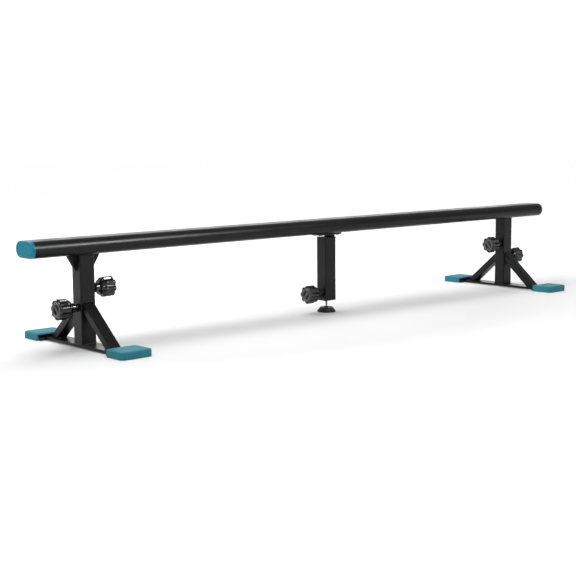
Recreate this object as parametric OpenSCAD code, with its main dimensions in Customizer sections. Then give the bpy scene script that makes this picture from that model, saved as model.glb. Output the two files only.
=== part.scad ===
// Low training balance beam: a flat-oval steel beam on two height-adjustable
// stands, with a screw-footed leg under the middle. Millimetres, +Z up.
// Origin: on the floor, under the middle of the beam. The beam runs along X.

/* [Beam] */
// Overall length over both end caps
beam_l = 2400; // [1600:50:3000]
// Width of the flat-oval tube
beam_w = 100; // [96:1:120]
// Height of the flat-oval tube, whose sides are full half-rounds
beam_h = 50; // [44:1:50]
// Wall of the beam tube
beam_wall = 3; // [2:0.5:4]
// Height of the walking surface above the floor with both stands closed
beam_top = 330; // [326:1:334]
// Thickness of an end cap outside the tube
cap_t = 8; // [6:1:12]
// Depth of the end cap's plug inside the tube
cap_plug = 28; // [15:1:40]
// Depth of the flat field inside the end cap's raised rim
cap_field = 1.5; // [1:0.5:3]

/* [Stands] */
// Distance from the middle of the beam to the middle of each stand
stand_x = 1005; // [600:1:1060]
// Size of the upright tubes along the beam
upright_x = 51; // [51:1:54]
// Size of the upright tubes across the beam
upright_y = 46; // [46:1:48]
// Wall of the upright tubes
upright_wall = 2.5; // [2:0.5:2.5]
// Height of the joint line between the upper sleeve and the lower post
seam_z = 147.8; // [146:0.2:150]
// Distance of each clamp knob above and below the joint line
knob_off = 27; // [25:1:29]
// Travel of each telescope joint, two of them in each stand
travel = 60; // [40:1:60]
// Size of the sliding inner tube along the beam
inner_x = 41; // [41:1:41]
// Size of the sliding inner tube across the beam
inner_y = 36; // [36:1:36]

/* [Base] */
// Overall length of a base, over both shoes
base_l = 540; // [510:2:600]
// Width of the flat base bar
bar_w = 60; // [54:1:70]
// Thickness of the base bar and foot plates
bar_t = 8; // [6:1:8]
// Width of a brace tube along the beam
brace_w = 38; // [30:1:50]
// Depth of a brace tube, square to its slope
brace_d = 25; // [20:1:30]
// Height where a brace's top edge meets the post
brace_top = 138; // [120:1:140]
// Distance from the stand's middle to where a brace's top edge meets the bar
brace_foot = 169; // [150:1:170]

/* [Shoes] */
// Size of a rubber shoe along the beam
shoe_x = 108; // [106:1:120]
// Size of a rubber shoe across the beam
shoe_y = 86; // [70:1:90]
// Height of a rubber shoe
shoe_h = 23; // [22:1:26]
// Thickness of rubber under the steel
shoe_sole = 3; // [3:0.5:3]

/* [Centre leg] */
// Height of the leg tube's lower end above the floor
leg_bottom = 44; // [44:1:48]
// Height of the leg tube's upper end
leg_top = 267; // [262:1:268]
// Height of the centre leg's clamp knob
leg_knob_z = 68.5; // [68:0.5:72]
// Diameter of the levelling foot on the floor
foot_d = 66; // [50:1:80]
// Height of the levelling foot's cone
foot_h = 17; // [14:1:20]

/* [Knobs] */
// Diameter of a knob's round front rim
knob_d = 64; // [58:1:66]
// Length of the fluted part of a knob
knob_l = 27; // [24:1:30]
// Distance from the tube's face to the knob's front
knob_reach = 74; // [70:1:80]
// Number of lobes round a knob
knob_lobes = 8; // [5:1:10]

/* [Hidden] */
$fn = 64;
eps = 0.01;
weld_clear = 0.1;            // slip between a plastic liner and its steel tube
slide_clear = 0.3;           // gap on each side of a telescoping tube
screw_clear = 0.05;          // radial clearance of a screw in its threaded bore
seam_gap = 0.4;              // gap between the two bushing flanges at the joint line
beam_bottom = beam_top - beam_h;
beam_mid = beam_top - beam_h / 2;
tube_r = 4;                  // outside corner radius of the upright tubes
flange_t = 2;                // thickness of a bushing's flange
bushing_l = 12;              // length of a bushing inside its tube
sleeve_z = seam_z + seam_gap / 2 + flange_t;
post_z = seam_z - seam_gap / 2 - flange_t;
bore_x = upright_x - 2 * upright_wall;
bore_y = upright_y - 2 * upright_wall;
inner_wall = 2;
inner_r = 3;
inner_overlap = 58;          // inner tube left in each outer tube at full travel
inner_bottom = post_z - travel - inner_overlap;
inner_top = sleeve_z + travel + inner_overlap;
glide_t = 2;                 // plastic over the end of an inner tube
glide_l = 12;                // plastic round the end of an inner tube
high_z = seam_z + knob_off;
low_z = seam_z - knob_off;
gusset_x = 32;
gusset_h = 50;
gusset_t = 6;
gusset_edge = 3;
boss_d = 24;
boss_l = 8;
screw_d = 10;                // M10 clamp screws
screw_hole = 11;             // clearance hole in the tube wall
pad_d = 9.6;
pad_t = 3;
pin_d = 5;                   // pin of the pad that turns inside the screw's end
pin_l = 4;
hub_gap = 3;                 // bare screw between boss and knob hub
hub_d = 29;
hub_l = 14;
skirt_d1 = 44;               // smooth cone between the hub and the lobes
skirt_d2 = 57;
skirt_l = 12;
lobe_d = 62;
knob_bore_l = 48;
flute_r = 8;
flute_out = 3.8;             // how far a flute's centre lies outside the lobes
face_d = 46;                 // recess in the knob's front face
face_boss_d = 22;
face_t = 2.5;
bar_z = shoe_sole;
bar_top = bar_z + bar_t;
plate_x = 100;
plate_overhang = 14;         // foot plate showing in front of a shoe's mouth
shoe_mouth = base_l / 2 - shoe_y;
bar_end = shoe_mouth - plate_overhang;
shoe_wall = 3.5;
shoe_ceiling = 18;
shoe_r = 12;
shoe_rib_t = 3;
shoe_rib_back = 12;
saddle_x = 110;
saddle_y = 48;
saddle_t = 6;
saddle_r = 8;
saddle_bolt_x = 42;
saddle_bolt_y = 15;
bolt_d = 6;
bolt_hole = 6.4;
bolt_head_d = 11;
bolt_head_h = 3;
bolt_reach = 16;
bracket_t = 3;
tab_x1 = 9;
tab_x2 = 23;
leg_inner_bottom = leg_bottom;
leg_inner_top = 250;
plug_l = 15;
foot_screw_d = 8;            // M8 levelling screw
foot_screw_bottom = 6;
foot_screw_top = 80;
foot_rim = 3;
foot_top_d = 47;
foot_hub_d = 15;
foot_hub_h = 3;

powder_black = "#1b1b1d";
steel = "#b9bcc0";
knob_black = "#101012";
plastic_black = "#222326";
cap_teal = "#2a9fb0";
shoe_teal = "#35b3c4";

// ---------- shared outlines ----------

// Flat oval lying along the first axis, with full half-round ends
module oval(w, h) {
    square([w - h, h], center = true);
    for (s = [-1, 1]) translate([s * (w - h) / 2, 0]) circle(d = h);
}

module rounded_rect(x, y, r) {
    square([x - 2 * r, y], center = true);
    square([x, y - 2 * r], center = true);
    for (i = [-1, 1], j = [-1, 1]) translate([i * (x / 2 - r), j * (y / 2 - r)]) circle(r = r);
}

// Upright solid with the outline of the stand tubes, from z1 to z2
module upright_solid(z1, z2) {
    translate([0, 0, z1]) linear_extrude(z2 - z1) rounded_rect(upright_x, upright_y, tube_r);
}

// Space inside the stand tubes, made smaller all round by clear
module bore_solid(z1, z2, clear = 0) {
    translate([0, 0, z1]) linear_extrude(z2 - z1)
        rounded_rect(bore_x - 2 * clear, bore_y - 2 * clear, tube_r - upright_wall);
}

// Outline of the inner tube, grown all round by grow
module inner_solid(z1, z2, grow = 0) {
    translate([0, 0, z1]) linear_extrude(z2 - z1)
        rounded_rect(inner_x + 2 * grow, inner_y + 2 * grow, inner_r + grow);
}

// Puts a part made along +Z onto a tube face: way is -1 or 1 along X, z its height
module on_face(way, z) {
    translate([way * upright_x / 2, 0, z]) rotate([0, way * 90, 0]) children();
}

// ---------- beam ----------

module along_beam(l) {
    translate([-l / 2, 0, beam_mid]) rotate([90, 0, 90]) linear_extrude(l) children();
}

module beam_tube() {
    color(powder_black) difference() {
        along_beam(beam_l - 2 * cap_t) difference() {
            oval(beam_w, beam_h);
            oval(beam_w - 2 * beam_wall, beam_h - 2 * beam_wall);
        }
        for (i = [-1, 1], j = [-1, 1])
            translate([i * saddle_bolt_x, j * saddle_bolt_y, beam_bottom - 1])
                cylinder(d = bolt_hole, h = beam_wall + 2);
    }
}

// way is -1 for the left end of the beam and 1 for the right end
module end_cap(way) {
    plug_clear = 0.3;
    plug_w = beam_w - 2 * beam_wall - 2 * plug_clear;
    plug_h = beam_h - 2 * beam_wall - 2 * plug_clear;
    plug_wall = 3;
    rim = 8;
    color(cap_teal) translate([way * (beam_l / 2 - cap_t), 0, beam_mid])
        rotate([90, 0, way * 90]) difference() {
            union() {
                linear_extrude(cap_t) oval(beam_w, beam_h);
                translate([0, 0, -cap_plug]) linear_extrude(cap_plug + eps) oval(plug_w, plug_h);
            }
            translate([0, 0, cap_t - cap_field]) linear_extrude(cap_field + 1)
                oval(beam_w - 2 * rim, beam_h - 2 * rim);
            translate([0, 0, -cap_plug - 1]) linear_extrude(cap_plug + 1)
                oval(plug_w - 2 * plug_wall, plug_h - 2 * plug_wall);
        }
}

// ---------- telescoping stands ----------

module upper_sleeve(knob_way) {
    color(powder_black) difference() {
        upright_solid(sleeve_z, beam_bottom);
        bore_solid(sleeve_z - 1, beam_bottom + 1);
        translate([0, 0, high_z]) rotate([0, knob_way * 90, 0])
            cylinder(d = screw_hole, h = upright_x);
    }
}

// Two gussets under the beam, on both faces of a sleeve along the beam
module gussets() {
    color(powder_black) for (way = [-1, 1])
        translate([way * upright_x / 2, 0, beam_bottom]) rotate([90, 0, 0])
            linear_extrude(gusset_t, center = true)
                polygon([[0, 0], [way * gusset_x, 0], [way * gusset_x, -gusset_edge],
                         [way * gusset_edge, -gusset_h], [0, -gusset_h]]);
}

// Plastic liner in the mouth of a tube; up is 1 when the tube rises from z, else -1
module bushing(z, up) {
    color(plastic_black) difference() {
        union() {
            upright_solid(min(z, z - up * flange_t), max(z, z - up * flange_t));
            bore_solid(min(z, z + up * bushing_l), max(z, z + up * bushing_l), weld_clear);
        }
        inner_solid(z - bushing_l - 5, z + bushing_l + 5, slide_clear);
    }
}

module inner_tube(z1, z2) {
    color(steel) difference() {
        inner_solid(z1, z2);
        inner_solid(z1 - 1, z2 + 1, -inner_wall);
    }
}

// Plastic glide over the end of an inner tube; up is 1 at its top end, -1 at its bottom
module glide(z, up) {
    color(plastic_black) difference() {
        bore_solid(min(z + up * glide_t, z - up * glide_l),
                   max(z + up * glide_t, z - up * glide_l), slide_clear);
        inner_solid(min(z, z - up * (glide_l + 1)), max(z, z - up * (glide_l + 1)));
    }
}

module inner_glides() {
    glide(inner_bottom, -1);
    glide(inner_top, 1);
}

module post(knob_way) {
    color(powder_black) difference() {
        upright_solid(bar_top, post_z);
        bore_solid(bar_top - 1, post_z + 1);
        translate([0, 0, low_z]) rotate([0, knob_way * 90, 0])
            cylinder(d = screw_hole, h = upright_x);
    }
}

module base_bar() {
    color(powder_black) translate([-bar_w / 2, -bar_end, bar_z]) cube([bar_w, 2 * bar_end, bar_t]);
}

// Side outline of a brace in the (Y, Z) plane, drawn in by inset on its two long edges
module brace_outline(inset) {
    y0 = upright_y / 2;
    slope = (brace_top - bar_top) / (brace_foot - y0);
    lean = sqrt(1 + slope * slope);
    drop_top = inset * lean;
    drop_low = (brace_d - inset) * lean;
    polygon([[y0, brace_top - drop_top], [y0, brace_top - drop_low],
             [brace_foot - drop_low / slope, bar_top], [brace_foot - drop_top / slope, bar_top]]);
}

// way is -1 for the front of the beam and 1 for the rear
module brace(way) {
    color(powder_black) scale([1, way, 1]) rotate([90, 0, 90]) difference() {
        linear_extrude(brace_w, center = true) brace_outline(0);
        linear_extrude(brace_w - 2 * upright_wall, center = true) brace_outline(upright_wall);
    }
}

module foot_plates() {
    plate_end = base_l / 2 - shoe_wall - 2;
    cut = 12;
    color(powder_black) for (way = [-1, 1])
        translate([0, 0, bar_z]) linear_extrude(bar_t)
            polygon([[-plate_x / 2, way * (bar_end + cut)], [-bar_w / 2, way * bar_end],
                     [bar_w / 2, way * bar_end], [plate_x / 2, way * (bar_end + cut)],
                     [plate_x / 2, way * (plate_end - cut)], [plate_x / 2 - cut, way * plate_end],
                     [cut - plate_x / 2, way * plate_end], [-plate_x / 2, way * (plate_end - cut)]]);
}

// Rubber shoe, open towards the stand, with ribs that hold the foot plate down
module shoe(way) {
    pocket_x = plate_x + 1;
    pocket_end = base_l / 2 - shoe_wall - 1;
    rib_from = shoe_mouth + shoe_rib_back;
    color(shoe_teal) scale([1, way, 1]) {
        difference() {
            translate([0, base_l / 2 - shoe_y / 2, 0]) linear_extrude(shoe_h)
                rounded_rect(shoe_x, shoe_y, shoe_r);
            translate([-pocket_x / 2, shoe_mouth - 1, shoe_sole])
                cube([pocket_x, pocket_end - shoe_mouth + 1, shoe_ceiling - shoe_sole]);
        }
        for (i = [-1.5 : 1 : 1.5])
            translate([i * plate_x / 4 - shoe_rib_t / 2, rib_from, bar_top])
                cube([shoe_rib_t, pocket_end - rib_from + 1, shoe_ceiling - bar_top + 1]);
    }
}

// ---------- clamps, made along +Z from the face of the tube ----------

module boss() {
    color(powder_black) difference() {
        cylinder(d = boss_d, h = boss_l);
        translate([0, 0, -1]) cylinder(d = screw_d + 2 * screw_clear, h = boss_l + 2);
    }
}

// Depth below the tube face at which the pad bears on the inner tube
pad_depth = (upright_x - inner_x) / 2 - slide_clear;

module pressure_pad() {
    color(steel) translate([0, 0, -pad_depth]) {
        cylinder(d = pad_d, h = pad_t);
        cylinder(d = pin_d, h = pad_t + pin_l);
    }
}

module clamp_screw() {
    end_gap = 0.2;
    start = pad_t + end_gap - pad_depth;
    color(steel) difference() {
        translate([0, 0, start]) cylinder(d = screw_d, h = knob_bore_l - start);
        translate([0, 0, start - 1])
            cylinder(d = pin_d + 2 * screw_clear, h = pin_l + 1.5);
    }
}

module knob() {
    hub_z = boss_l + hub_gap;
    skirt_z = hub_z + hub_l;
    lobe_z = skirt_z + skirt_l;
    rim_z = lobe_z + knob_l;
    color(knob_black) difference() {
        union() {
            translate([0, 0, hub_z]) cylinder(d = hub_d, h = hub_l);
            translate([0, 0, skirt_z]) cylinder(d1 = skirt_d1, d2 = skirt_d2, h = skirt_l);
            translate([0, 0, lobe_z]) linear_extrude(knob_l) difference() {
                circle(d = lobe_d);
                for (i = [0 : knob_lobes - 1]) rotate(i * 360 / knob_lobes)
                    translate([lobe_d / 2 + flute_out, 0]) circle(r = flute_r);
            }
            translate([0, 0, rim_z]) cylinder(d = knob_d, h = knob_reach - rim_z);
        }
        translate([0, 0, hub_z - 1]) cylinder(d = screw_d, h = knob_bore_l - hub_z + 1);
        translate([0, 0, knob_reach - face_t]) difference() {
            cylinder(d = face_d, h = face_t + 1);
            cylinder(d = face_boss_d, h = face_t);
        }
    }
}

// ---------- centre leg ----------

module centre_saddle_plate() {
    color(powder_black) translate([0, 0, beam_bottom - saddle_t]) difference() {
        linear_extrude(saddle_t) rounded_rect(saddle_x, saddle_y, saddle_r);
        for (i = [-1, 1], j = [-1, 1]) translate([i * saddle_bolt_x, j * saddle_bolt_y, -1])
            cylinder(d = bolt_hole, h = saddle_t + 2);
    }
}

module centre_saddle_bolts() {
    socket_d = 4.6;
    color(steel) for (i = [-1, 1], j = [-1, 1])
        translate([i * saddle_bolt_x, j * saddle_bolt_y, beam_bottom - saddle_t]) difference() {
            union() {
                translate([0, 0, -bolt_head_h]) cylinder(d = bolt_head_d, h = bolt_head_h);
                translate([0, 0, -eps]) cylinder(d = bolt_d, h = bolt_reach);
            }
            translate([0, 0, -bolt_head_h - 1]) cylinder(d = socket_d, h = bolt_head_h, $fn = 6);
        }
}

// Top plate of the leg with an upstanding tab welded under the saddle plate
module centre_leg_bracket() {
    tab_y = upright_y - 2 * tube_r;
    color(powder_black) {
        upright_solid(leg_top - bracket_t, leg_top);
        translate([tab_x1, -tab_y / 2, leg_top - eps])
            cube([tab_x2 - tab_x1, tab_y, beam_bottom - saddle_t - leg_top + eps]);
    }
}

module centre_leg_tube() {
    color(powder_black) difference() {
        upright_solid(leg_bottom, leg_top - bracket_t);
        bore_solid(leg_bottom - 1, leg_top + 1);
        translate([0, 0, leg_knob_z]) rotate([0, -90, 0])
            cylinder(d = screw_hole, h = upright_x);
    }
}

// Threaded plug in the lower end of the centre leg's inner tube
module centre_foot_plug() {
    color(plastic_black) difference() {
        union() {
            inner_solid(leg_inner_bottom - flange_t, leg_inner_bottom);
            inner_solid(leg_inner_bottom, leg_inner_bottom + plug_l, -inner_wall - weld_clear);
        }
        translate([0, 0, leg_inner_bottom - flange_t - 1])
            cylinder(d = foot_screw_d + 2 * screw_clear, h = plug_l + flange_t + 2);
    }
}

module centre_foot_screw() {
    color(steel) translate([0, 0, foot_screw_bottom])
        cylinder(d = foot_screw_d, h = foot_screw_top - foot_screw_bottom);
}

module centre_levelling_foot() {
    color(plastic_black) rotate_extrude() {
        r = foot_screw_d / 2 + screw_clear;
        difference() {
            polygon([[0, 0], [foot_d / 2, 0], [foot_d / 2, foot_rim], [foot_top_d / 2, foot_h],
                     [foot_hub_d / 2, foot_h], [foot_hub_d / 2 - 2, foot_h + foot_hub_h],
                     [0, foot_h + foot_hub_h]]);
            translate([-1, foot_screw_bottom - 0.2]) square([1 + r, foot_h + foot_hub_h]);
        }
    }
}

// ---------- placing ----------

module at_left() { translate([-stand_x, 0, 0]) children(); }
module at_right() { translate([stand_x, 0, 0]) children(); }

beam_tube();
end_cap(-1);  // left_end_cap
end_cap(1);  // right_end_cap
at_left() upper_sleeve(1);  // left_upper_sleeve
at_right() upper_sleeve(-1);  // right_upper_sleeve
at_left() gussets();  // left_gussets
at_left() on_face(1, high_z) boss();  // left_upper_boss
at_right() on_face(-1, high_z) boss();  // right_upper_boss
at_left() bushing(sleeve_z, 1);  // left_upper_bushing
at_right() bushing(sleeve_z, 1);  // right_upper_bushing
at_left() inner_tube(inner_bottom, inner_top);  // left_inner_tube
at_right() inner_tube(inner_bottom, inner_top);  // right_inner_tube
at_left() inner_glides();  // left_inner_glides
at_right() inner_glides();  // right_inner_glides
at_left() post(-1);  // left_post
at_right() post(1);  // right_post
at_left() bushing(post_z, -1);  // left_post_bushing
at_right() bushing(post_z, -1);  // right_post_bushing
at_left() on_face(-1, low_z) boss();  // left_lower_boss
at_right() on_face(1, low_z) boss();  // right_lower_boss
at_left() base_bar();  // left_base_bar
at_right() base_bar();  // right_base_bar
at_left() brace(-1);  // left_front_brace
at_right() brace(-1);  // right_front_brace
at_left() brace(1);  // left_rear_brace
at_right() brace(1);  // right_rear_brace
at_left() foot_plates();  // left_foot_plates
at_right() foot_plates();  // right_foot_plates
at_left() shoe(-1);  // left_front_shoe
at_right() shoe(-1);  // right_front_shoe
at_left() shoe(1);  // left_rear_shoe
at_right() shoe(1);  // right_rear_shoe
at_left() on_face(1, high_z) knob();  // left_upper_knob
at_right() on_face(-1, high_z) knob();  // right_upper_knob
at_left() on_face(1, high_z) clamp_screw();  // left_upper_clamp_screw
at_right() on_face(-1, high_z) clamp_screw();  // right_upper_clamp_screw
at_left() on_face(1, high_z) pressure_pad();  // left_upper_pressure_pad
at_right() on_face(-1, high_z) pressure_pad();  // right_upper_pressure_pad
at_left() on_face(-1, low_z) knob();  // left_lower_knob
at_right() on_face(1, low_z) knob();  // right_lower_knob
at_left() on_face(-1, low_z) clamp_screw();  // left_lower_clamp_screw
at_right() on_face(1, low_z) clamp_screw();  // right_lower_clamp_screw
at_left() on_face(-1, low_z) pressure_pad();  // left_lower_pressure_pad
at_right() on_face(1, low_z) pressure_pad();  // right_lower_pressure_pad
centre_saddle_plate();
centre_saddle_bolts();
centre_leg_bracket();
centre_leg_tube();
on_face(-1, leg_knob_z) boss();  // centre_leg_boss
bushing(leg_bottom, 1);  // centre_leg_bushing
on_face(-1, leg_knob_z) knob();  // centre_knob
on_face(-1, leg_knob_z) clamp_screw();  // centre_clamp_screw
on_face(-1, leg_knob_z) pressure_pad();  // centre_pressure_pad
inner_tube(leg_inner_bottom, leg_inner_top);  // centre_inner_tube
glide(leg_inner_top, 1);  // centre_inner_glide
centre_foot_plug();
centre_foot_screw();
centre_levelling_foot();
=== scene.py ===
import math
from collections import namedtuple

import bmesh
import bpy
from mathutils import Matrix, Vector


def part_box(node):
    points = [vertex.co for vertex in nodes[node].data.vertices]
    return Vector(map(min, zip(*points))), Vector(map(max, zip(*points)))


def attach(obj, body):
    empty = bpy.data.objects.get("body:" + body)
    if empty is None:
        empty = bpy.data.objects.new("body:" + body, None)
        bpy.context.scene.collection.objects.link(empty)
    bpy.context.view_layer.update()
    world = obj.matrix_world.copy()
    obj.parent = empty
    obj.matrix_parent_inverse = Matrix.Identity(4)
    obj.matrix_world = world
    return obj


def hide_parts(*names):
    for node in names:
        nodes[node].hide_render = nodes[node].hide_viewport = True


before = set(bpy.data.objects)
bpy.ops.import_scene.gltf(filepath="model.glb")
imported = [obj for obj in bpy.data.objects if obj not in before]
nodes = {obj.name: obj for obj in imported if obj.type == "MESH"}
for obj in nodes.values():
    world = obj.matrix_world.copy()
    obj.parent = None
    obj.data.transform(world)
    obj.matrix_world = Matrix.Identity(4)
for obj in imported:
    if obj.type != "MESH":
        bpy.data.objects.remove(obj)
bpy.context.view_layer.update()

MM = 0.001
TAU = 2 * math.pi
SIDES = ("left", "right")
Box = namedtuple("Box", "low high size middle")

SHEEN = 0.22  # reflectivity of the coated and moulded surfaces

# Sizes of the tubes and plates, in metres
TUBE_R = 4 * MM
TUBE_WALL = 2.5 * MM
INNER_R = 3 * MM
INNER_WALL = 2 * MM
BEAM_WALL = 3 * MM
EDGE = 0.5 * MM  # chamfer on a sawn tube end
BRACE_DEPTH = 25 * MM
BRACE_TOP = 138 * MM
BRACE_FOOT = 169 * MM
PLATE_CUT = 12 * MM  # clipped corner of a foot plate
SHOE_CEILING = 18 * MM
SOLE_GROOVES = range(-3, 4)
GROOVE_PITCH = 11 * MM
GROOVE_HALF = 1.2 * MM
GROOVE_DEPTH = 1.1 * MM
GROOVE_MARGIN = 9 * MM  # flat rubber between a groove's end and the sole's edge
PAST = 10 * MM  # how far a cutter runs past the surface it opens
TAB_X = (9 * MM, 23 * MM)  # faces of the tab under the saddle plate
SCREW_BORE_R = 5.05 * MM
CLAMP_PITCH = 1.5 * MM
FOOT_PITCH = 1.25 * MM


# ---------- camera, light and floor ----------

CAMERA_AT = Vector((-2.968, -3.070, 0.640))
CAMERA_HEADING = 47.79  # degrees from +X towards +Y
CAMERA_DOWN = 7.41
CAMERA_ROLL = -0.42
CAMERA_LENS = 75.96

ROOM_LEVEL = 0.42  # strength of the light from every side but the wall behind the object
WALL_LEVEL = 1.5
WALL_EDGE = (0.84, 0.955)  # cosines of the angle off the camera's heading where the wall fades in
GLOW_NEAR = 0.03  # emission of the floor round the object, where the lamps do the rest
GLOW_FAR = 0.58
GLOW_RISE = (0.34, 1.2)  # metres from the shade's middle, across the beam, where the glow rises
GLOW_SQUEEZE = (0.42, 1, 1)  # the shade is drawn out along the beam
GLOW_SHIFT = (0.1, 0.2, 0)


def make_camera():
    heading, down, roll = (math.radians(a) for a in (CAMERA_HEADING, CAMERA_DOWN, CAMERA_ROLL))
    flat = Vector((math.cos(heading), math.sin(heading), 0))
    forward = flat * math.cos(down) - Vector((0, 0, math.sin(down)))
    right = Vector((math.sin(heading), -math.cos(heading), 0))
    up = right.cross(forward)
    level = Matrix((right, up, -forward)).transposed().to_4x4()
    data = bpy.data.cameras.new("camera")
    data.lens = CAMERA_LENS
    data.clip_end = 60
    camera = bpy.data.objects.new("camera", data)
    camera.matrix_world = Matrix.Translation(CAMERA_AT) @ level @ Matrix.Rotation(roll, 4, "Z")
    bpy.context.scene.collection.objects.link(camera)
    bpy.context.scene.camera = camera


def area_light(name, place, target, width, height, power):
    data = bpy.data.lights.new(name, "AREA")
    data.shape = "RECTANGLE"
    data.size = width
    data.size_y = height
    data.energy = power
    lamp = bpy.data.objects.new(name, data)
    lamp.location = place
    lamp.rotation_euler = (Vector(target) - Vector(place)).to_track_quat("-Z", "Y").to_euler()
    bpy.context.scene.collection.objects.link(lamp)
    return lamp


def make_world():
    """Light of a white studio: bright from behind the object, dimmer from everywhere else."""
    world = bpy.data.worlds.new("studio")
    bpy.context.scene.world = world
    world.use_nodes = True
    tree = world.node_tree
    heading = math.radians(CAMERA_HEADING)
    backdrop = (math.cos(heading), math.sin(heading), 0)
    place = add(tree, "TexCoord").outputs["Generated"]
    facing = add(tree, "VectorMath", {0: place, 1: backdrop}, operation="DOT_PRODUCT").outputs["Value"]
    level = remap(tree, facing, ROOM_LEVEL, WALL_LEVEL, *WALL_EDGE)
    tree.links.new(level, tree.nodes["Background"].inputs["Strength"])
    tree.nodes["Background"].inputs["Color"].default_value = (1, 1, 1, 1)


def make_floor():
    """White floor that glows more with distance, so that it meets the backdrop without an edge."""
    half = 30
    corners = [(-half, -half, 0), (half, -half, 0), (half, half, 0), (-half, half, 0)]
    mesh = bpy.data.meshes.new("floor")
    mesh.from_pydata(corners, [], [(0, 1, 2, 3)])
    floor = bpy.data.objects.new("floor", mesh)
    bpy.context.scene.collection.objects.link(floor)
    material, tree, shader, coords = new_material("floor_white")
    shader.inputs["Base Color"].default_value = (0.87, 0.87, 0.87, 1)
    shader.inputs["Roughness"].default_value = 0.8
    shader.inputs["Specular IOR Level"].default_value = 0.2
    shader.inputs["Emission Color"].default_value = (1, 1, 1, 1)
    shade = {"Vector": coords, "Location": GLOW_SHIFT, "Scale": GLOW_SQUEEZE}
    squeezed = add(tree, "Mapping", shade).outputs["Vector"]
    distance = add(tree, "VectorMath", {0: squeezed}, operation="LENGTH").outputs["Value"]
    glow = remap(tree, distance, GLOW_NEAR, GLOW_FAR, *GLOW_RISE)
    tree.links.new(glow, shader.inputs["Emission Strength"])
    mesh.materials.append(material)


def make_backdrop():
    """Round white wall far behind the object; it is only seen, and neither lights nor mirrors."""
    radius, low, high = 24, -0.5, 14
    bm = bmesh.new()
    rings = [at_z(circle(radius, 96), z) for z in (low, high)]
    skin(bm, rings)
    mesh = bpy.data.meshes.new("backdrop")
    bm.to_mesh(mesh)
    bm.free()
    wall = bpy.data.objects.new("backdrop", mesh)
    bpy.context.scene.collection.objects.link(wall)
    material, _, shader, _ = new_material("backdrop_white")
    shader.inputs["Base Color"].default_value = (0, 0, 0, 1)
    shader.inputs["Emission Color"].default_value = (1, 1, 1, 1)
    shader.inputs["Emission Strength"].default_value = 1.05
    mesh.materials.append(material)
    for kind in ("diffuse", "glossy", "transmission", "shadow"):
        setattr(wall, f"visible_{kind}", False)


def make_studio():
    bpy.context.scene.view_settings.view_transform = "Standard"
    make_world()
    make_floor()
    make_backdrop()
    soft = area_light("overhead", (-0.5, 0.5, 2.6), (-0.1, 0, 0), width=3.0, height=1.1, power=64)
    soft.visible_glossy = False  # a lamp this wide would leave white patches on the knobs
    streak = area_light("front_box", (0.15, -1.75, 1.42), (-0.95, 0, 0.3), width=1.0, height=0.55, power=62)
    glint = area_light("side_box", (-2.4, 1.5, 1.6), (-1.1, 0, 0.15), width=1.2, height=0.8, power=60)
    for lamp in (streak, glint):
        lamp.visible_diffuse = False  # these only draw highlights on the beam and the knobs


# ---------- node helpers ----------


def add(tree, kind, inputs=None, **settings):
    """A shader node with its settings, and with inputs given as values or as other nodes' outputs."""
    node = tree.nodes.new("ShaderNode" + kind)
    for key, value in settings.items():
        setattr(node, key, value)
    for key, value in (inputs or {}).items():
        if isinstance(value, bpy.types.NodeSocket):
            tree.links.new(value, node.inputs[key])
        else:
            node.inputs[key].default_value = value
    return node


def remap(tree, value, low, high, from_low=0.0, from_high=1.0):
    settings = {"Value": value, "From Min": from_low, "From Max": from_high, "To Min": low, "To Max": high}
    return add(tree, "MapRange", settings).outputs["Result"]


def noise(tree, coords, scale, detail=2.0, stretch=(1, 1, 1)):
    place = add(tree, "Mapping", {"Vector": coords, "Scale": stretch}).outputs["Vector"]
    return add(tree, "TexNoise", {"Vector": place, "Scale": scale, "Detail": detail}).outputs["Fac"]


def tint(tree, factor, first, second):
    colours = {"Factor": factor, 6: (*first, 1), 7: (*second, 1)}
    return add(tree, "Mix", colours, data_type="RGBA").outputs[2]


def edge_mask(tree, radius):
    """1 on convex and concave edges, 0 on flat faces."""
    rounded = add(tree, "Bevel", {"Radius": radius}, samples=4).outputs["Normal"]
    flat = add(tree, "NewGeometry").outputs["Normal"]
    facing = add(tree, "VectorMath", {0: rounded, 1: flat}, operation="DOT_PRODUCT").outputs["Value"]
    return remap(tree, facing, 1, 0, 0.82, 0.99)


def new_material(name, metallic=0.0, sheen=SHEEN):
    """A material with its tree, its shader and the object coordinates."""
    material = bpy.data.materials.new(name)
    material.use_nodes = True
    tree = material.node_tree
    shader = tree.nodes["Principled BSDF"]
    shader.inputs["Metallic"].default_value = metallic
    shader.inputs["Specular IOR Level"].default_value = 0.5 if metallic else sheen
    coords = add(tree, "TexCoord").outputs["Object"]
    return material, tree, shader, coords


def set_surface(tree, shader, colour, roughness, heights):
    """Links colour and roughness, and stacks one bump for each (height, strength, distance)."""
    tree.links.new(colour, shader.inputs["Base Color"])
    tree.links.new(roughness, shader.inputs["Roughness"])
    normal = None
    for height, strength, distance in heights:
        settings = {"Height": height, "Strength": strength, "Distance": distance}
        if normal:
            settings["Normal"] = normal
        normal = add(tree, "Bump", settings).outputs["Normal"]
    tree.links.new(normal, shader.inputs["Normal"])


# ---------- materials ----------


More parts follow.
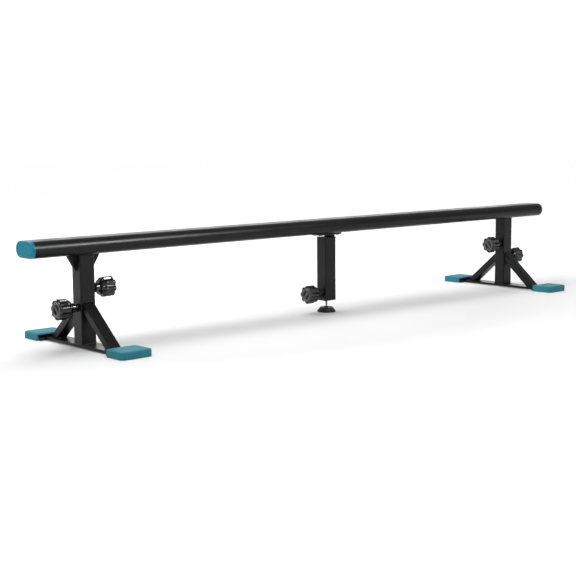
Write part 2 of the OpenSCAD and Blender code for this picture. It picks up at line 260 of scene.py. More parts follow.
def powder_coat():
    """Satin black powder coat: orange peel, cloudy sheen, edges rubbed a little lighter."""
    material, tree, shader, coords = new_material("black_powder_coat_look")
    cloud = noise(tree, coords, 11, 4)
    grain = noise(tree, coords, 420, 3)
    rubbed = {0: edge_mask(tree, 0.9 * MM), 1: noise(tree, coords, 60, 4)}
    edge = add(tree, "Math", rubbed, operation="MULTIPLY").outputs[0]
    body = tint(tree, grain, (0.003, 0.003, 0.0035), (0.006, 0.006, 0.0065))
    colour = tint(tree, edge, (0.0035, 0.0035, 0.004), (0.04, 0.04, 0.042))
    both = add(tree, "Mix", {"Factor": 0.5, 6: body, 7: colour}, data_type="RGBA").outputs[2]
    roughness = remap(tree, cloud, 0.26, 0.38, 0.3, 0.7)
    peel = noise(tree, coords, 700, 2)
    wave = noise(tree, coords, 45, 2)
    set_surface(tree, shader, both, roughness, [(wave, 0.12, 0.6 * MM), (peel, 0.22, 0.12 * MM)])
    return material


def teal_rubber():
    """Moulded rubber: fine matt grain, faint cloudiness, edges a touch paler."""
    material, tree, shader, coords = new_material("teal_rubber_look", sheen=0.09)
    cloud = noise(tree, coords, 26, 4)
    body = tint(tree, cloud, (0.026, 0.205, 0.262), (0.045, 0.258, 0.322))
    edge = add(tree, "Math", {0: edge_mask(tree, 1.2 * MM), 1: 0.35}, operation="MULTIPLY").outputs[0]
    pale = {"Factor": edge, 6: body, 7: (0.10, 0.34, 0.40, 1)}
    colour = add(tree, "Mix", pale, data_type="RGBA").outputs[2]
    roughness = remap(tree, noise(tree, coords, 70, 3), 0.44, 0.56, 0.3, 0.7)
    grain = noise(tree, coords, 1300, 2)
    set_surface(tree, shader, colour, roughness, [(cloud, 0.10, 0.5 * MM), (grain, 0.25, 0.1 * MM)])
    return material


def teal_plastic():
    """Smooth moulded cap plastic with a faint sink and flow pattern."""
    material, tree, shader, coords = new_material("teal_cap_plastic_look", sheen=0.09)
    flow = noise(tree, coords, 34, 3, (1, 1, 2.5))
    colour = tint(tree, flow, (0.003, 0.225, 0.32), (0.008, 0.270, 0.375))
    roughness = remap(tree, noise(tree, coords, 160, 2), 0.24, 0.34, 0.3, 0.7)
    grain = noise(tree, coords, 900, 2)
    set_surface(tree, shader, colour, roughness, [(flow, 0.10, 0.4 * MM), (grain, 0.12, 0.06 * MM)])
    return material


def knob_plastic():
    """Polished black plastic with handling marks."""
    material, tree, shader, coords = new_material("black_knob_plastic_look", sheen=0.55)
    smear = noise(tree, coords, 55, 4)
    colour = tint(tree, smear, (0.004, 0.004, 0.0045), (0.009, 0.009, 0.010))
    roughness = remap(tree, smear, 0.12, 0.24, 0.3, 0.7)
    grain = noise(tree, coords, 1100, 2)
    set_surface(tree, shader, colour, roughness, [(smear, 0.08, 0.3 * MM), (grain, 0.06, 0.05 * MM)])
    return material


def satin_plastic():
    """Dark grey moulded insert with a dull face."""
    material, tree, shader, coords = new_material("grey_satin_plastic_look", sheen=0.4)
    smear = noise(tree, coords, 70, 3)
    colour = tint(tree, smear, (0.085, 0.085, 0.088), (0.125, 0.125, 0.130))
    roughness = remap(tree, smear, 0.34, 0.46, 0.3, 0.7)
    grain = noise(tree, coords, 900, 2)
    set_surface(tree, shader, colour, roughness, [(smear, 0.08, 0.3 * MM), (grain, 0.15, 0.06 * MM)])
    return material


def matte_plastic():
    """Moulded black nylon with a sparked texture."""
    material, tree, shader, coords = new_material("black_matte_plastic_look")
    spark = noise(tree, coords, 800, 3)
    colour = tint(tree, noise(tree, coords, 40, 3), (0.008, 0.008, 0.009), (0.015, 0.015, 0.016))
    roughness = remap(tree, spark, 0.36, 0.50, 0.3, 0.7)
    set_surface(tree, shader, colour, roughness, [(spark, 0.25, 0.1 * MM)])
    return material


def zinc_steel():
    """Zinc-plated steel, drawn along Z, with slightly clouded plating."""
    material, tree, shader, coords = new_material("zinc_steel_look", 1.0)
    drawn = noise(tree, coords, 900, 3, (1, 1, 0.04))
    cloud = noise(tree, coords, 38, 4)
    colour = tint(tree, cloud, (0.50, 0.51, 0.53), (0.66, 0.67, 0.69))
    streak = add(tree, "Mix", {"Factor": 0.5, 2: drawn, 3: cloud}, data_type="FLOAT").outputs[0]
    roughness = remap(tree, streak, 0.20, 0.38, 0.3, 0.7)
    set_surface(tree, shader, colour, roughness, [(drawn, 0.15, 0.05 * MM)])
    return material


MATERIALS = {
    "black_powder_coat": powder_coat(),
    "teal_rubber": teal_rubber(),
    "teal_cap_plastic": teal_plastic(),
    "black_knob_plastic": knob_plastic(),
    "grey_satin_plastic": satin_plastic(),
    "black_matte_plastic": matte_plastic(),
    "zinc_steel": zinc_steel(),
}


# ---------- outlines and meshes ----------


def oblong(x, y, r, steps=6):
    """Rounded rectangle of x by y with corner radius r, as points round its middle."""
    points = []
    for quarter, (i, j) in enumerate(((1, 1), (-1, 1), (-1, -1), (1, -1))):
        for k in range(steps + 1):
            a = TAU / 4 * (quarter + k / steps)
            points.append(Vector((i * (x / 2 - r) + r * math.cos(a), j * (y / 2 - r) + r * math.sin(a), 0)))
    return points


def oval(w, h, steps=24):
    """Flat oval of w by h with full half-round ends."""
    points = []
    for side in (0, 1):
        for k in range(steps + 1):
            a = TAU / 2 * (side + k / steps) - TAU / 4
            shift = (w - h) / 2 * (1 - 2 * side)
            points.append(Vector((shift + h / 2 * math.cos(a), h / 2 * math.sin(a), 0)))
    return points


def circle(r, steps=48):
    return [Vector((r * math.cos(TAU * k / steps), r * math.sin(TAU * k / steps), 0)) for k in range(steps)]


def at_z(points, z):
    return [Vector((p.x, p.y, z)) for p in points]


def arc(middle_r, middle_z, radius, start, end, steps=5):
    """(radius, height) pairs along an arc in a profile, with angles in degrees."""
    angles = [math.radians(start + (end - start) * k / steps) for k in range(steps + 1)]
    return [(middle_r + radius * math.cos(a), middle_z + radius * math.sin(a)) for a in angles]


def skin(bm, rings, loop=False, start=False, end=False):
    """Faces between rings of points, closed back to the first ring or capped at either end."""
    rows = [[bm.verts.new(p) for p in ring] for ring in rings]
    pairs = list(zip(rows, rows[1:]))
    if loop:
        pairs.append((rows[-1], rows[0]))
    for low, high in pairs:
        for k in range(len(low)):
            j = (k + 1) % len(low)
            bm.faces.new((low[k], low[j], high[j], high[k]))
    if start:
        bm.faces.new(list(reversed(rows[0])))
    if end:
        bm.faces.new(rows[-1])


def lathe(profile, steps):
    """Ring with the closed (radius, height) profile as its section, round Z."""
    bm = bmesh.new()
    skin(bm, [at_z(circle(r, steps), z) for r, z in profile], loop=True)
    return bm


def tube(outline, size, wall, r, z0, z1):
    """Hollow tube along Z with chamfered ends; outline is oblong or oval."""

    def section(inset, z):
        x, y = (s - 2 * inset for s in size)
        ring = outline(x, y) if outline is oval else outline(x, y, max(r - inset, 0.3 * MM))
        return at_z(ring, z)

    bm = bmesh.new()
    ends = [(EDGE, z0), (0, z0 + EDGE), (0, z1 - EDGE), (EDGE, z1)]
    inside = [(wall - EDGE / 2, z1), (wall, z1 - EDGE / 2), (wall, z0 + EDGE / 2), (wall - EDGE / 2, z0)]
    skin(bm, [section(inset, z) for inset, z in ends + inside], loop=True)
    return bm


def slab(points, thickness):
    """Flat plate: points in the XY plane, extruded along +Z."""
    bm = bmesh.new()
    skin(bm, [at_z(points, 0), at_z(points, thickness)], start=True, end=True)
    return bm


def merge(bm, other, place=None):
    """Adds the shape other to bm."""
    if place is not None:
        bmesh.ops.transform(other, matrix=place, verts=other.verts)
    mesh = bpy.data.meshes.new("merged")
    other.to_mesh(mesh)
    other.free()
    bm.from_mesh(mesh)
    bpy.data.meshes.remove(mesh)


def dress(obj, slot, bevel=0.0, sharp=40):
    """Smooth shading with crisp edges, rounded by bevel, and the slot's material."""
    mesh = obj.data
    mesh.shade_smooth()
    mesh.set_sharp_from_angle(angle=math.radians(sharp))
    if bevel:
        cut = obj.modifiers.new("rounded_edges", "BEVEL")
        cut.width = bevel
        cut.segments = 3
        cut.limit_method = "ANGLE"
        cut.angle_limit = math.radians(35)
        cut.use_clamp_overlap = True
    normals = obj.modifiers.new("flat_faces_stay_flat", "WEIGHTED_NORMAL")
    normals.keep_sharp = not bevel
    mesh.materials.clear()
    mesh.materials.append(MATERIALS[slot])


def piece(name, bm, body, slot, replaced=(), place=None, bevel=0.0, sharp=40):
    """Turns bm into a piece that rides on a body and may stand for CAD nodes."""
    if place is not None:
        bmesh.ops.transform(bm, matrix=place, verts=bm.verts)
    bmesh.ops.recalc_face_normals(bm, faces=bm.faces)
    mesh = bpy.data.meshes.new(name)
    bm.to_mesh(mesh)
    bm.free()
    obj = bpy.data.objects.new(name, mesh)
    bpy.context.scene.collection.objects.link(obj)
    dress(obj, slot, bevel, sharp)
    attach(obj, body)
    if replaced:
        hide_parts(*replaced)


def carve(bm, cutters):
    """bm with the cutters' volumes taken out."""
    mesh = bpy.data.meshes.new("uncut")
    bmesh.ops.recalc_face_normals(bm, faces=bm.faces)
    bm.to_mesh(mesh)
    bm.free()
    solid = bpy.data.objects.new("uncut", mesh)
    bpy.context.scene.collection.objects.link(solid)
    tools = []
    for cutter in cutters:
        bmesh.ops.recalc_face_normals(cutter, faces=cutter.faces)
        tool_mesh = bpy.data.meshes.new("cutter")
        cutter.to_mesh(tool_mesh)
        cutter.free()
        tool = bpy.data.objects.new("cutter", tool_mesh)
        bpy.context.scene.collection.objects.link(tool)
        tools.append(tool)
        cut = solid.modifiers.new("cut", "BOOLEAN")
        cut.operation = "DIFFERENCE"
        cut.solver = "EXACT"
        cut.object = tool
    bpy.context.view_layer.update()
    evaluated = solid.evaluated_get(bpy.context.evaluated_depsgraph_get())
    result = bmesh.new()
    result.from_mesh(bpy.data.meshes.new_from_object(evaluated))
    for obj in (solid, *tools):
        bpy.data.meshes.remove(obj.data)
    return result


def block(low, high):
    """Box between two opposite corners."""
    (x0, y0, z0), (x1, y1, z1) = low, high
    bm = bmesh.new()
    corners = [Vector((x, y, 0)) for x, y in ((x0, y0), (x1, y0), (x1, y1), (x0, y1))]
    skin(bm, [at_z(corners, z0), at_z(corners, z1)], start=True, end=True)
    return bm


def size_of(node):
    """Box of a CAD node: its low and high corners, its size and its middle."""
    low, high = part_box(node)
    return Box(low, high, high - low, (low + high) / 2)


# ---------- welds ----------

BEAD_R = 1.7 * MM
RIPPLE = 3.2 * MM  # length of one ripple of a weld


def bead(bm, corners, closed=False):
    """Rippled weld bead along a line through the corner points."""
    stops = corners + [corners[0]] if closed else corners
    route = []
    for a, b in zip(stops, stops[1:]):
        count = max(1, round((b - a).length / (RIPPLE / 3)))
        route += [a.lerp(b, k / count) for k in range(count)]
    if not closed:
        route.append(stops[-1])
    rings = []
    run = 0
    for k, point in enumerate(route):
        ahead = route[(k + 1) % len(route)] if closed or k + 1 < len(route) else point
        behind = route[k - 1] if closed or k > 0 else point
        run += (point - behind).length
        along = (ahead - behind).normalized()
        side = along.orthogonal() if abs(along.z) > 0.99 else along.cross(Vector((0, 0, 1))).normalized()
        over = along.cross(side)
        swell = BEAD_R * (0.86 + 0.14 * math.cos(TAU * run / RIPPLE))
        if not closed and k in (0, len(route) - 1):
            swell *= 0.45
        lean = along * (0.25 * swell * math.sin(TAU * run / RIPPLE))
        ring = [math.cos(TAU * j / 8) * side + math.sin(TAU * j / 8) * over for j in range(8)]
        rings.append([point + lean + v * swell for v in ring])
    skin(bm, rings, loop=closed, start=not closed, end=not closed)


# ---------- beam ----------


def along_x(low):
    """Takes a shape made along Z, with its width on X and its height on Y, to lie along X from low."""
    turn = Matrix(((0, 0, 1, 0), (1, 0, 0, 0), (0, 1, 0, 0), (0, 0, 0, 1)))
    return Matrix.Translation(low) @ turn


def make_beam():
    box = size_of("beam_tube")
    bm = tube(oval, (box.size.y, box.size.z), BEAM_WALL, 0, 0, box.size.x)
    place = along_x(Vector((box.low.x, box.middle.y, box.middle.z)))
    piece("beam_tube_finished", bm, "beam", "black_powder_coat", ["beam_tube"], place)


def make_end_cap(side):
    way = -1 if side == "left" else 1
    box = size_of(f"{side}_end_cap")
    beam = size_of("beam_tube")
    depth = box.size.x - (beam.low.x - box.low.x if way < 0 else box.high.x - beam.high.x)
    plate = box.size.x - depth
    round_r, rim, field = 3.2 * MM, 6.5 * MM, 1.5 * MM
    plug = BEAM_WALL + 0.3 * MM
    stations = [(plug + 3 * MM, 2 * MM), (plug + 3 * MM, -depth), (plug + 0.5 * MM, -depth)]
    stations += [(plug, 0.5 * MM - depth), (plug, 0), (0.25 * MM, 0), (0, 0.25 * MM)]
    edge = arc(round_r, plate - round_r, round_r, 180, 90)
    lip = arc(rim - 1 * MM, plate - 1 * MM, 1 * MM, 90, 20, 3)
    foot = arc(rim + 1.2 * MM, plate - field + 0.6 * MM, 0.6 * MM, 200, 270, 3)
    stations += edge + lip + foot
    stations += [(rim + 8 * MM, plate - field + 0.25 * MM)]
    stations += [(box.size.z / 2 - 2 * MM, plate - field + 0.4 * MM)]
    bm = bmesh.new()
    rings = [at_z(oval(box.size.y - 2 * inset, box.size.z - 2 * inset), z) for inset, z in stations]
    skin(bm, rings, start=True, end=True)
    face = beam.low.x if way < 0 else beam.high.x
    place = Matrix.Translation((face, box.middle.y, box.middle.z)) @ along_x(Vector((0, 0, 0)))
    if way < 0:
        place = place @ Matrix.Scale(-1, 4, Vector((0, 0, 1)))
    piece(f"{side}_end_cap_finished", bm, "beam", "teal_cap_plastic", [f"{side}_end_cap"], place, sharp=50)


# ---------- stands ----------


def upright(node, body, slot="black_powder_coat", r=TUBE_R, wall=TUBE_WALL):
    box = size_of(node)
    bm = tube(oblong, (box.size.x, box.size.y), wall, r, 0, box.size.z)
    place = Matrix.Translation((box.middle.x, box.middle.y, box.low.z))
    piece(f"{node}_finished", bm, body, slot, [node], place)


def make_brace(side, end):
    """Rectangular tube from the post down to the bar, mitred against both."""
    node = f"{side}_{end}_brace"
    box = size_of(node)
    way = -1 if end == "front" else 1
    post_face = size_of(f"{side}_post").size.y / 2
    bar_top = box.low.z
    slope = math.atan2(BRACE_TOP - bar_top, BRACE_FOOT - post_face)
    bm = bmesh.new()
    rings = []
    for wall in (0, TUBE_WALL):
        section = oblong(box.size.x - 2 * wall, BRACE_DEPTH - 2 * wall, max(TUBE_R - wall, MM))
        tops, feet = [], []
        for p in section:
            drop = (BRACE_DEPTH / 2 - p.y) / math.cos(slope)
            tops.append(Vector((p.x, way * post_face, BRACE_TOP - drop)))
            foot = BRACE_FOOT - drop / math.tan(slope)
            feet.append(Vector((p.x, way * foot, bar_top)))
        rings += [tops, feet] if wall == 0 else [feet, tops]
    skin(bm, rings, loop=True)
    place = Matrix.Translation((box.middle.x, 0, 0))
    piece(f"{node}_finished", bm, f"{side}_base", "black_powder_coat", [node], place)


def make_bar(side):
    node = f"{side}_base_bar"
    box = size_of(node)
    bm = block(box.low, box.high)
    piece(f"{node}_finished", bm, f"{side}_base", "black_powder_coat", [node], bevel=1.0 * MM)


def make_foot_plates(side):
    """The two plates as one piece, with clipped corners."""
    node = f"{side}_foot_plates"
    box = size_of(node)
    bar = size_of(f"{side}_base_bar")
    half, neck = box.size.x / 2, bar.size.x / 2
    inner, outer = bar.high.y, box.high.y
    bm = bmesh.new()
    for way in (-1, 1):
        rim = [(-neck, inner), (neck, inner), (half, inner + PLATE_CUT), (half, outer - PLATE_CUT)]
        rim += [(half - PLATE_CUT, outer), (PLATE_CUT - half, outer)]
        rim += [(-half, outer - PLATE_CUT), (-half, inner + PLATE_CUT)]
        merge(bm, slab([Vector((x, way * y, 0)) for x, y in rim], box.size.z))
    place = Matrix.Translation((box.middle.x, 0, box.low.z))
    piece(f"{node}_finished", bm, f"{side}_base", "black_powder_coat", [node], place, bevel=0.8 * MM)


def make_gussets():
    node = "left_gussets"
    box = size_of(node)
    half = size_of("left_upper_sleeve").size.x / 2
    edge = 3 * MM
    bm = bmesh.new()
    for way in (-1, 1):
        outline = [(half, 0), (box.size.x / 2, 0), (box.size.x / 2, -edge)]
        outline += [(half + edge, -box.size.z), (half, -box.size.z)]
        plate = slab([Vector((way * x, y, 0)) for x, y in outline], box.size.y)
        merge(bm, plate, Matrix.Rotation(TAU / 4, 4, "X"))
    place = Matrix.Translation((box.middle.x, box.middle.y + box.size.y / 2, box.high.z))
    piece(f"{node}_finished", bm, "beam", "black_powder_coat", [node], place, bevel=0.7 * MM)


def make_shoe(side, end):
    """Rubber shoe with rounded edges, an open mouth towards the stand, ribs inside and a ribbed sole."""
    node = f"{side}_{end}_shoe"
    box = size_of(node)
    plates = size_of(f"{side}_foot_plates")
    way = -1 if end == "front" else 1
    corner, top_r, foot_r = 12 * MM, 4 * MM, 1.5 * MM
    stations = arc(foot_r, foot_r, foot_r, 270, 180, 3) + arc(top_r, box.size.z - top_r, top_r, 180, 90, 5)
    stations += [(top_r + 6 * MM, box.size.z), (top_r + 14 * MM, box.size.z)]
    bm = bmesh.new()
    rings = []
    for inset, z in stations:
        ring = oblong(box.size.x - 2 * inset, box.size.y - 2 * inset, max(corner - inset, 2 * MM))
        rings.append(at_z(ring, z))
    skin(bm, rings, start=True, end=True)
    mouth = -box.size.y / 2
    pocket_x = plates.size.x + 1 * MM
    pocket_end = plates.high.y + 1 * MM - box.middle.y * way
    pocket_low = (-pocket_x / 2, mouth - PAST, plates.low.z)
    cutters = [block(pocket_low, (pocket_x / 2, pocket_end, SHOE_CEILING))]
    groove_x = box.size.x / 2 - GROOVE_MARGIN
    for k in SOLE_GROOVES:
        y = k * GROOVE_PITCH
        groove_high = (groove_x, y + GROOVE_HALF, GROOVE_DEPTH)
        cutters.append(block((-groove_x, y - GROOVE_HALF, -PAST), groove_high))
    bm = carve(bm, cutters)
    for k in (-1.5, -0.5, 0.5, 1.5):
        x = k * plates.size.x / 4
        rib_low = (x - 1.5 * MM, mouth + 12 * MM, plates.high.z)
        merge(bm, block(rib_low, (x + 1.5 * MM, pocket_end, SHOE_CEILING)))
    place = Matrix.Translation((box.middle.x, box.middle.y, 0)) @ Matrix.Scale(way, 4, Vector((0, 1, 0)))
    piece(f"{node}_finished", bm, f"{side}_base", "teal_rubber", [node], place, sharp=35)


# ---------- clamps ----------

THREAD_STEPS = 24
KNOB_LOBES = 8
HUB_FROM = 11 * MM  # back of the knob's hub, from the tube's face
HUB_R = 14.5 * MM
SKIRT_FROM_R = 21.5 * MM
SKIRT_TO_R = 28.5 * MM
HUB_L = 14 * MM
SKIRT_L = 12 * MM
FLUTE_DEPTH = 6 * MM
FLUTE_HALF = 0.33  # half a flute's width, in lobes
FLUTE_RUN = 13 * MM  # length of a flute's rounded end towards the tube
RIM_L = 10 * MM
RING_R = 19.5 * MM  # middle of the raised ring on the face
RING_THICK = 4.4 * MM
RECESS = 7 * MM  # depth inside the ring


def threaded_rod(r, pitch, length, start=0.0):
    """Rod with a right-hand V thread and chamfered ends, along Z."""
    bm = bmesh.new()
    depth = 0.54 * pitch
    steps_per_turn = 5
    count = round(length / pitch * steps_per_turn)
    rings = []
    for k in range(count + 1):
        z = length * k / count
        limit = r - max(0, depth - z, depth - (length - z))
        ring = []
        for j in range(THREAD_STEPS):
            phase = (z / pitch - j / THREAD_STEPS) % 1
            height = 1 - abs(2 * phase - 1)
            radius = min(r - depth * (1 - height), limit)
            a = TAU * j / THREAD_STEPS
            ring.append(Vector((radius * math.cos(a), radius * math.sin(a), start + z)))
        rings.append(ring)
    skin(bm, rings, start=True, end=True)
    return bm


def knob_profile(reach, outer):
    """(radius, height) of the knob without its flutes, from the hub's back to the face's middle."""
    skirt = HUB_FROM + HUB_L
    lobes = skirt + SKIRT_L
    rim = reach - RIM_L
    points = [(SCREW_BORE_R, HUB_FROM)]
    points += arc(HUB_R - 1.5 * MM, HUB_FROM + 1.5 * MM, 1.5 * MM, 270, 360, 3)
    points += [(HUB_R + 0.3 * MM, skirt - 4 * MM)]
    points += arc(HUB_R + 2.3 * MM, skirt - 2 * MM, 2 * MM, 180, 90, 3)
    points += [(SKIRT_FROM_R - 1 * MM, skirt), (SKIRT_FROM_R, skirt + 0.6 * MM)]
    flare = SKIRT_TO_R - SKIRT_FROM_R
    points += [(SKIRT_FROM_R + flare * k / 5, skirt + SKIRT_L * k / 5) for k in range(1, 6)]
    points += arc(outer - 3.5 * MM, lobes + 3.5 * MM, 2.9 * MM, 315, 360, 3)
    points += [(outer - 0.6 * MM, lobes + (rim - lobes) * k / 8) for k in range(3, 9)]
    points += [(outer, rim + 1.2 * MM), (outer, rim + 3 * MM)]
    points += arc(outer - 5 * MM, reach - 6.5 * MM, 5 * MM, 0, 80, 6)
    points += [(RING_R + RING_THICK, reach - 2.4 * MM), (RING_R + RING_THICK - 0.6 * MM, reach - 3.2 * MM)]
    points += [(RING_R + RING_THICK - 0.8 * MM, reach - RECESS + 0.5 * MM), (RING_R, reach - RECESS)]
    points += [(6 * MM, reach - RECESS), (2 * MM, reach - RECESS)]
    return points


def grip_bar(length, width, height):
    """Bar across the knob's face with full round edges, standing on Z = 0."""
    round_r = width / 2 - 0.8 * MM
    bm = bmesh.new()
    rings = [at_z(oblong(length, width, round_r), 0)]
    for inset, z in arc(round_r, height - round_r, round_r, 180, 95, 6):
        rings.append(at_z(oblong(length - 2 * inset, width - 2 * inset, max(round_r - inset, 0.3 * MM)), z))
    skin(bm, rings, start=True, end=True)
    return bm


def knob_shape(reach, outer):
    """Lobed knob with eight flutes that run out at the face and end in a U towards the tube."""
    bm = bmesh.new()
    steps = KNOB_LOBES * 14
    flute_from = HUB_FROM + HUB_L + SKIRT_L + 5 * MM
    rim = reach - RIM_L
    face = RING_R + RING_THICK
    rings = []
    for radius, z in knob_profile(reach, outer):
        ring = []
        for j in range(steps):
            a = TAU * j / steps
            off = abs((a / TAU * KNOB_LOBES) % 1 - 0.5) / FLUTE_HALF
            back = max(0, flute_from - z) / FLUTE_RUN
            dent = max(0, 1 - off * off - back * back)
            shallow = 1 if z < rim else 1 - 0.35 * min(1, (z - rim) / (7 * MM))
            if radius <= face and z > rim:
                shallow = 0
            r = radius - FLUTE_DEPTH * dent * shallow * (0 if radius < SKIRT_FROM_R else 1)
            ring.append(Vector((r * math.cos(a), r * math.sin(a), z)))
        rings.append(ring)
    skin(bm, rings, end=True)
    return bm


def knob_insert(reach):
    """Raised ring with a bar across it, set into the recess in the knob's face."""
    foot = reach - RECESS - 0.3 * MM
    profile = arc(RING_R, reach - RING_THICK, RING_THICK, 25, 170, 9)
    profile += [(RING_R - RING_THICK, foot), (RING_R + RING_THICK - MM, foot)]
    bm = lathe(profile, 96)
    bar = grip_bar(2 * (RING_R - 1.5 * MM), 9 * MM, RECESS - 0.8 * MM)
    merge(bm, bar, Matrix.Translation((0, 0, foot)))
    return bm


def on_face(boss, way):
    """Frame of a clamp: origin on the tube's face, +Z away from the tube along X."""
    box = size_of(boss)
    face = box.low.x if way > 0 else box.high.x
    return Matrix.Translation((face, box.middle.y, box.middle.z)) @ Matrix.Rotation(way * TAU / 4, 4, "Y")


def make_clamp(tag, boss, way, turned):
    """Boss, threaded screw and knob of one clamp; turned is the knob's angle in degrees."""
    place = on_face(boss, way)
    outer, length = size_of(boss).size.z / 2, size_of(boss).size.x
    chamfer = 0.8 * MM
    profile = [(outer, 0), (outer, length - chamfer), (outer - chamfer, length)]
    profile += [(SCREW_BORE_R + chamfer, length), (SCREW_BORE_R, length - chamfer), (SCREW_BORE_R, 0)]
    owner = f"{tag.split('_')[0]}_base" if "lower" in tag else "beam"
    ring = lathe(profile, 48)
    piece(f"{boss}_finished", ring, owner, "black_powder_coat", [boss], place, sharp=50)

    screw = f"{tag}_clamp_screw"
    box = size_of(screw)
    face = place.translation.x
    start = box.low.x - face if way > 0 else face - box.high.x
    rod = threaded_rod(box.size.z / 2, CLAMP_PITCH, box.size.x, start)
    piece(f"{screw}_finished", rod, f"{tag}_hand_screw", "zinc_steel", [screw], place, sharp=60)

    knob = f"{tag}_knob"
    box = size_of(knob)
    reach = box.high.x - face if way > 0 else face - box.low.x
    spin = place @ Matrix.Rotation(math.radians(turned), 4, "Z")
    shape = knob_shape(reach, box.size.z / 2)
    piece(f"{knob}_finished", shape, f"{tag}_hand_screw", "black_knob_plastic", [knob], spin, sharp=42)
    insert = knob_insert(reach)
    piece(f"{knob}_insert", insert, f"{tag}_hand_screw", "grey_satin_plastic", (), spin, sharp=42)


# ---------- centre leg ----------


def make_saddle():
    node = "centre_saddle_plate"
    box = size_of(node)
    bm = slab(oblong(box.size.x, box.size.y, 8 * MM), box.size.z)
    place = Matrix.Translation((box.middle.x, box.middle.y, box.low.z))
    piece(f"{node}_finished", bm, "beam", "black_powder_coat", [node], place, bevel=0.8 * MM)


def make_bracket():
    """Top plate of the leg with its upstanding tab."""
    node = "centre_leg_bracket"
    box = size_of(node)
    plate_t = 3 * MM
    bm = slab(oblong(box.size.x, box.size.y, TUBE_R), plate_t)
    tab_y = box.size.y / 2 - TUBE_R
    merge(bm, block((TAB_X[0], -tab_y, plate_t - 0.2 * MM), (TAB_X[1], tab_y, box.size.z)))
    place = Matrix.Translation((box.middle.x, box.middle.y, box.low.z))
    piece(f"{node}_finished", bm, "beam", "black_powder_coat", [node], place, bevel=0.6 * MM)


FOOT_RIBS = 14
RIB_DEPTH = 1.8 * MM


def make_levelling_foot():
    """Round foot with a hub, and finger ribs down its cone for turning it by hand."""
    node = "centre_levelling_foot"
    box = size_of(node)
    outer, rim = box.size.x / 2, 3 * MM
    shoulder, cone_r, hub_r = 17 * MM, 23.5 * MM, 7.5 * MM
    profile = [(2 * MM, 0), (outer - 5 * MM, 0), (outer - 4.5 * MM, 0.6 * MM), (outer - 1 * MM, 0.6 * MM)]
    profile += arc(outer - 1 * MM, 1.6 * MM, 1 * MM, 270, 360, 3)
    profile += [(outer, rim), (outer - 0.8 * MM, rim + 1 * MM)]
    cone = [(outer - 0.8 * MM, rim + 1 * MM), (cone_r + MM, shoulder - 3 * MM)]
    slope = (cone[1][0] - cone[0][0]) / (cone[1][1] - cone[0][1])
    for k in range(1, 9):
        z = cone[0][1] + (cone[1][1] - cone[0][1]) * k / 8
        profile.append((cone[0][0] + slope * (z - cone[0][1]), z))
    profile += arc(cone_r - 2 * MM, shoulder - 2 * MM, 2 * MM, 20, 90, 4)
    profile += [(cone_r - 5 * MM, shoulder), (cone_r - 6 * MM, shoulder - 0.8 * MM)]
    profile += [(hub_r + 1.5 * MM, shoulder - 0.8 * MM), (hub_r, shoulder)]
    profile += [(hub_r - 1 * MM, box.size.z - 1 * MM), (hub_r - 2 * MM, box.size.z)]
    profile += [(4.05 * MM, box.size.z), (4.05 * MM, 5.8 * MM), (1 * MM, 5.8 * MM)]
    steps = FOOT_RIBS * 8
    bm = bmesh.new()
    rings = []
    for radius, z in profile:
        ribbed = rim + 1.5 * MM < z < shoulder + 0.1 * MM and radius > cone_r - 4 * MM
        ring = []
        for k in range(steps):
            a = TAU * k / steps
            dent = max(0, math.cos(FOOT_RIBS * a)) if ribbed else 0
            r = radius - RIB_DEPTH * dent
            ring.append(Vector((r * math.cos(a), r * math.sin(a), z)))
        rings.append(ring)
    skin(bm, rings, start=True, end=True)
    place = Matrix.Translation((box.middle.x, box.middle.y, 0))
    piece(f"{node}_finished", bm, "centre_foot", "black_matte_plastic", [node], place, sharp=38)


def make_foot_screw():
    node = "centre_foot_screw"
    box = size_of(node)
    rod = threaded_rod(box.size.x / 2, FOOT_PITCH, box.size.z)
    place = Matrix.Translation((box.middle.x, box.middle.y, box.low.z))
    piece(f"{node}_finished", rod, "centre_foot_stud", "zinc_steel", [node], place, sharp=60)


# ---------- welds of each welded frame ----------


def outline_at(node, z):
    """The outline of an upright tube, as a closed line at height z."""
    box = size_of(node)
    shift = Vector((box.middle.x, box.middle.y, 0))
    return [p + shift for p in at_z(oblong(box.size.x, box.size.y, TUBE_R), z)]


def ring_at(boss, way):
    box = size_of(boss)
    place = on_face(boss, way)
    return [place @ p for p in at_z(circle(box.size.z / 2, 24), 0.3 * MM)]


def across(x, y, z, half):
    """A straight line along X, half to each side of x."""
    return [Vector((x - half, y, z)), Vector((x + half, y, z))]


def weld_top(side):
    """Sleeve to beam, boss to sleeve, and the gussets on the left stand."""
    bm = bmesh.new()
    sleeve = f"{side}_upper_sleeve"
    box = size_of(sleeve)
    bead(bm, outline_at(sleeve, box.high.z), closed=True)
    bead(bm, ring_at(f"{side}_upper_boss", 1 if side == "left" else -1), closed=True)
    if side == "left":
        gussets = size_of("left_gussets")
        for way in (-1, 1):
            for y in (gussets.low.y, gussets.high.y):
                foot = box.middle.x + way * box.size.x / 2
                tip = gussets.high.x - 3 * MM if way > 0 else gussets.low.x + 3 * MM
                corners = [(foot, gussets.low.z + 2 * MM), (foot, box.high.z), (tip, box.high.z)]
                bead(bm, [Vector((x, y, z)) for x, z in corners])
    piece(f"{side}_sleeve_welds", bm, "beam", "black_powder_coat", sharp=80)


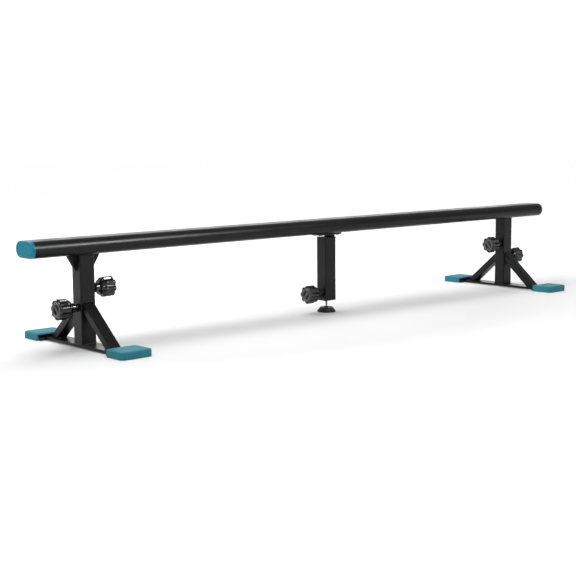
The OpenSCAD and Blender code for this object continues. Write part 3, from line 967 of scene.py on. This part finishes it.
def weld_base(side):
    """Post to bar, braces to post and bar, bar to foot plates, and boss to post."""
    bm = bmesh.new()
    post = f"{side}_post"
    box = size_of(post)
    bead(bm, outline_at(post, box.low.z), closed=True)
    bead(bm, ring_at(f"{side}_lower_boss", -1 if side == "left" else 1), closed=True)
    brace_x = size_of(f"{side}_front_brace").size.x / 2 - TUBE_R
    slope = math.atan2(BRACE_TOP - box.low.z, BRACE_FOOT - box.size.y / 2)
    drop = BRACE_DEPTH / math.cos(slope)
    bar = size_of(f"{side}_base_bar")
    for way in (-1, 1):
        for z in (BRACE_TOP, BRACE_TOP - drop):
            bead(bm, across(box.middle.x, way * box.size.y / 2, z, brace_x))
        for y in (BRACE_FOOT, BRACE_FOOT - drop / math.tan(slope)):
            bead(bm, across(box.middle.x, way * y, box.low.z, brace_x))
        bead(bm, across(box.middle.x, way * bar.high.y, box.low.z - 0.8 * MM, bar.size.x / 2 - 3 * MM))
    piece(f"{side}_base_welds", bm, f"{side}_base", "black_powder_coat", sharp=80)


def weld_leg():
    bm = bmesh.new()
    box = size_of("centre_leg_bracket")
    bead(bm, outline_at("centre_leg_tube", box.low.z), closed=True)
    bead(bm, ring_at("centre_leg_boss", -1), closed=True)
    tab_y = box.size.y / 2 - TUBE_R
    for x in TAB_X:
        bead(bm, [Vector((x, -tab_y, box.high.z - MM)), Vector((x, tab_y, box.high.z - MM))])
    piece("centre_leg_welds", bm, "beam", "black_powder_coat", sharp=80)


# ---------- the object ----------

SLOT_OF_KEPT = {
    "bushing": "black_matte_plastic",
    "glide": "black_matte_plastic",
    "glides": "black_matte_plastic",
    "plug": "black_matte_plastic",
    "pad": "zinc_steel",
    "bolts": "zinc_steel",
}


def keep_cad_node(name):
    """A small or hidden CAD node that is shown as it is, with rounded edges."""
    obj = nodes[name]
    dress(obj, SLOT_OF_KEPT[name.split("_")[-1]], bevel=0.25 * MM, sharp=30)


def make_stand(side):
    upright(f"{side}_upper_sleeve", "beam")
    upright(f"{side}_post", f"{side}_base")
    upright(f"{side}_inner_tube", f"{side}_inner", "zinc_steel", INNER_R, INNER_WALL)
    for end in ("front", "rear"):
        make_brace(side, end)
        make_shoe(side, end)
    make_bar(side)
    make_foot_plates(side)
    weld_top(side)
    weld_base(side)


make_camera()
make_studio()

make_beam()
for side in SIDES:
    make_end_cap(side)
    make_stand(side)
make_gussets()
make_clamp("left_upper", "left_upper_boss", 1, 10)
make_clamp("left_lower", "left_lower_boss", -1, 40)
make_clamp("right_upper", "right_upper_boss", -1, 45)
make_clamp("right_lower", "right_lower_boss", 1, 5)
make_clamp("centre", "centre_leg_boss", -1, -45)
make_saddle()
make_bracket()
upright("centre_leg_tube", "beam")
upright("centre_inner_tube", "centre_leg", "zinc_steel", INNER_R, INNER_WALL)
make_levelling_foot()
make_foot_screw()
weld_leg()
for name, obj in nodes.items():
    if not obj.hide_render:
        keep_cad_node(name)
